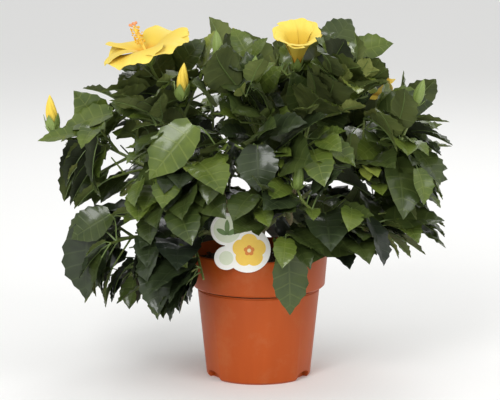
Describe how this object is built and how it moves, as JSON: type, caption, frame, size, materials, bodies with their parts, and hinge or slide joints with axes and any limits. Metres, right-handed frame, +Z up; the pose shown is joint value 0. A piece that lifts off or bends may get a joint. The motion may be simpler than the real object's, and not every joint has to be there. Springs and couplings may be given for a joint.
{
  "type": "potted hibiscus shrub",
  "caption": "Bushy young hibiscus shrub with glossy leaves and yellow flowers, growing from a round terracotta-coloured plastic nursery pot with a hooked plant label.",
  "frame": {"origin": "centre of the pot's flat underside", "axes": "+Z up; -Y is the front, with the label over the rim; +X to the right of a viewer in front"},
  "size_m": [0.3841, 0.3203, 0.3416],
  "materials": {
    "terracotta_plastic": "satin",
    "peat_soil": "matte",
    "label_card": "satin",
    "woody_stem": "matte",
    "green_bough": "matte",
    "foliage": "satin",
    "petals": "matte"
  },
  "bodies": {
    "root": {"pot": "terracotta_plastic", "potting_soil": "peat_soil", "plant_label": "label_card", "stem_left": "woody_stem", "stem_right": "woody_stem", "stem_back": "woody_stem", "bough_left_low": "green_bough", "bough_front_left_low": "green_bough", "bough_front_right_low": "green_bough", "bough_right_low": "green_bough", "bough_back_right_low": "green_bough", "bough_back_left_low": "green_bough", "bough_left": "green_bough", "bough_front_left": "green_bough", "bough_front": "green_bough", "bough_right": "green_bough", "bough_back_right": "green_bough", "bough_back_left": "green_bough", "bough_top_left": "green_bough", "bough_top_front": "green_bough", "bough_top_right": "green_bough", "bough_top_back": "green_bough", "foliage_left_low": "foliage", "foliage_front_left_low": "foliage", "foliage_front_right_low": "foliage", "foliage_right_low": "foliage", "foliage_back_right_low": "foliage", "foliage_back_left_low": "foliage", "foliage_left": "foliage", "foliage_front_left": "foliage", "foliage_front": "foliage", "foliage_right": "foliage", "foliage_back_right": "foliage", "foliage_back_left": "foliage", "foliage_top_left": "foliage", "foliage_top_front": "foliage", "foliage_top_right": "foliage", "foliage_top_back": "foliage"}
  },
  "joints": []
}
